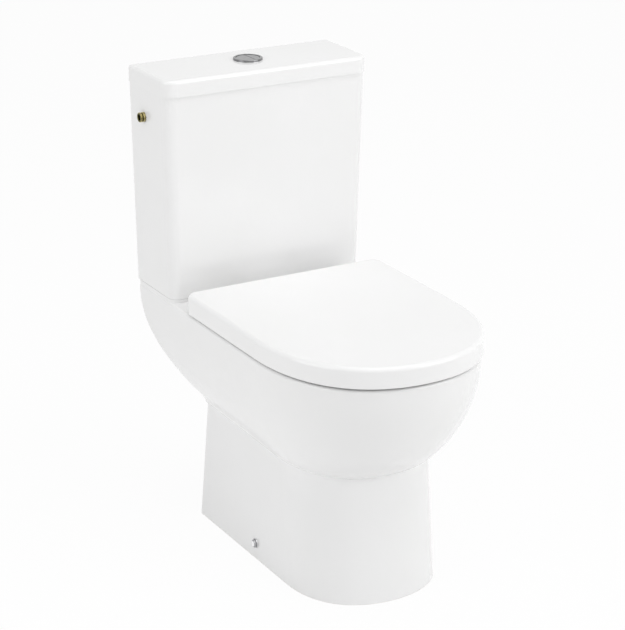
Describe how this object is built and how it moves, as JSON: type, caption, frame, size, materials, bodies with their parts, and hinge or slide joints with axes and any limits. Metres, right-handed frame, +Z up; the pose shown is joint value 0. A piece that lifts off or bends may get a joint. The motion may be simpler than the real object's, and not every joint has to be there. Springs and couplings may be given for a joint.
{
  "type": "close coupled toilet",
  "caption": "White close coupled toilet: D-shaped pan on a tapered foot, lift-up seat and wrap-over cover, and a cistern with lift-off lid, dual flush button, flush valve and float valve.",
  "frame": {"origin": "on the floor, on the centre plane, half way from the wall plane to the front of the seat cover", "axes": "+Z up, +Y to the wall behind, -Y to the front, +X to the right seen from the front"},
  "size_m": [0.3892, 0.646, 0.7915],
  "materials": {
    "ceramic": "glossy white glaze",
    "seat_plastic": "glossy white moulding",
    "chrome": "polished",
    "brass": "turned",
    "steel": "zinc plated",
    "white_plastic": "moulded",
    "grey_plastic": "moulded",
    "blue_plastic": "moulded",
    "black_rubber": "matte",
    "white_rubber": "matte"
  },
  "bodies": {
    "base": {"pan": "ceramic", "pan_foot": "ceramic", "pan_basin": "ceramic", "pan_flush_way": "ceramic", "pan_trapway": "ceramic", "pan_outlet": "ceramic", "cistern_tank": "ceramic", "hinge_posts": "chrome", "hinge_post_pads": "white_rubber", "hinge_pins": "steel", "hinge_studs": "steel", "hinge_washers": "white_plastic", "hinge_wing_nuts": "white_plastic", "flush_valve_body": "white_plastic", "flush_valve_cage": "grey_plastic", "flush_valve_washer": "black_rubber", "flush_valve_nut": "white_plastic", "coupling_doughnut": "black_rubber", "rocker_pin": "steel", "coupling_bolts": "steel", "coupling_seals": "black_rubber", "coupling_washers": "steel", "coupling_wing_nuts": "white_plastic", "shelf_pads": "white_rubber", "inlet_tail": "brass", "inlet_washer": "black_rubber", "inlet_nut": "brass", "fill_valve_body": "white_plastic", "fill_valve_cap": "grey_plastic", "discharge_tube": "white_plastic", "float_arm_pin": "steel", "floor_brackets": "steel", "screw_sleeves": "white_plastic", "side_screws": "steel", "screw_caps": "chrome"},
    "seat": {"seat_ring": "seat_plastic", "seat_buffers": "white_rubber"},
    "cover": {"seat_cover": "seat_plastic", "cover_buffers": "white_rubber"},
    "cistern_top": {"cistern_lid": "ceramic", "button_ring": "chrome", "button_nut": "white_plastic", "button_guide": "white_plastic"},
    "full_button": {"full_flush_button": "chrome", "full_flush_rod": "white_plastic"},
    "half_button": {"half_flush_button": "chrome", "half_flush_rod": "white_plastic"},
    "flush_tube": {"overflow_tube": "white_plastic", "flush_seal": "black_rubber"},
    "rocker": {"flush_rocker": "blue_plastic"},
    "half_latch": {"half_flush_latch": "blue_plastic"},
    "float": {"float_arm": "grey_plastic", "float_cup": "blue_plastic"}
  },
  "joints": [
    {"name": "seat_lift", "type": "hinge", "parent": "base", "child": "seat", "pos_m": [0, 0.121, 0.424], "axis": [-1, 0, 0], "range_deg": [0, 93]},
    {"name": "cover_lift", "type": "hinge", "parent": "seat", "child": "cover", "pos_m": [0, 0.121, 0.424], "axis": [1, 0, 0], "range_deg": [-95, 0]},
    {"name": "lid_lift", "type": "slide", "parent": "base", "child": "cistern_top", "axis": [0, 0, 1], "range_m": [0, 0.2]},
    {"name": "full_flush_press", "type": "slide", "parent": "cistern_top", "child": "full_button", "axis": [0, 0, -1], "range_m": [0, 0.008], "stiffness_N_per_m": 500, "springref_m": -0.006},
    {"name": "half_flush_press", "type": "slide", "parent": "cistern_top", "child": "half_button", "axis": [0, 0, -1], "range_m": [0, 0.008], "stiffness_N_per_m": 500, "springref_m": -0.006},
    {"name": "flush_tube_lift", "type": "slide", "parent": "base", "child": "flush_tube", "axis": [0, 0, 1], "range_m": [0, 0.008]},
    {"name": "rocker_tilt", "type": "hinge", "parent": "base", "child": "rocker", "pos_m": [0.002, 0.247, 0.674], "axis": [0, -1, 0], "range_deg": [0, 36]},
    {"name": "half_latch_slide", "type": "slide", "parent": "base", "child": "half_latch", "axis": [0, 0, -1], "range_m": [0, 0.008]},
    {"name": "float_swing", "type": "hinge", "parent": "base", "child": "float", "pos_m": [-0.11088, 0.269, 0.734], "axis": [0, -1, 0], "range_deg": [0, 28]}
  ],
  "couplings": [
    {"joint": "flush_tube_lift", "follows": "full_flush_press", "ratio": 1},
    {"joint": "rocker_tilt", "follows": "full_flush_press", "rad_per_m": 77.5},
    {"joint": "half_latch_slide", "follows": "half_flush_press", "ratio": 1}
  ]
}
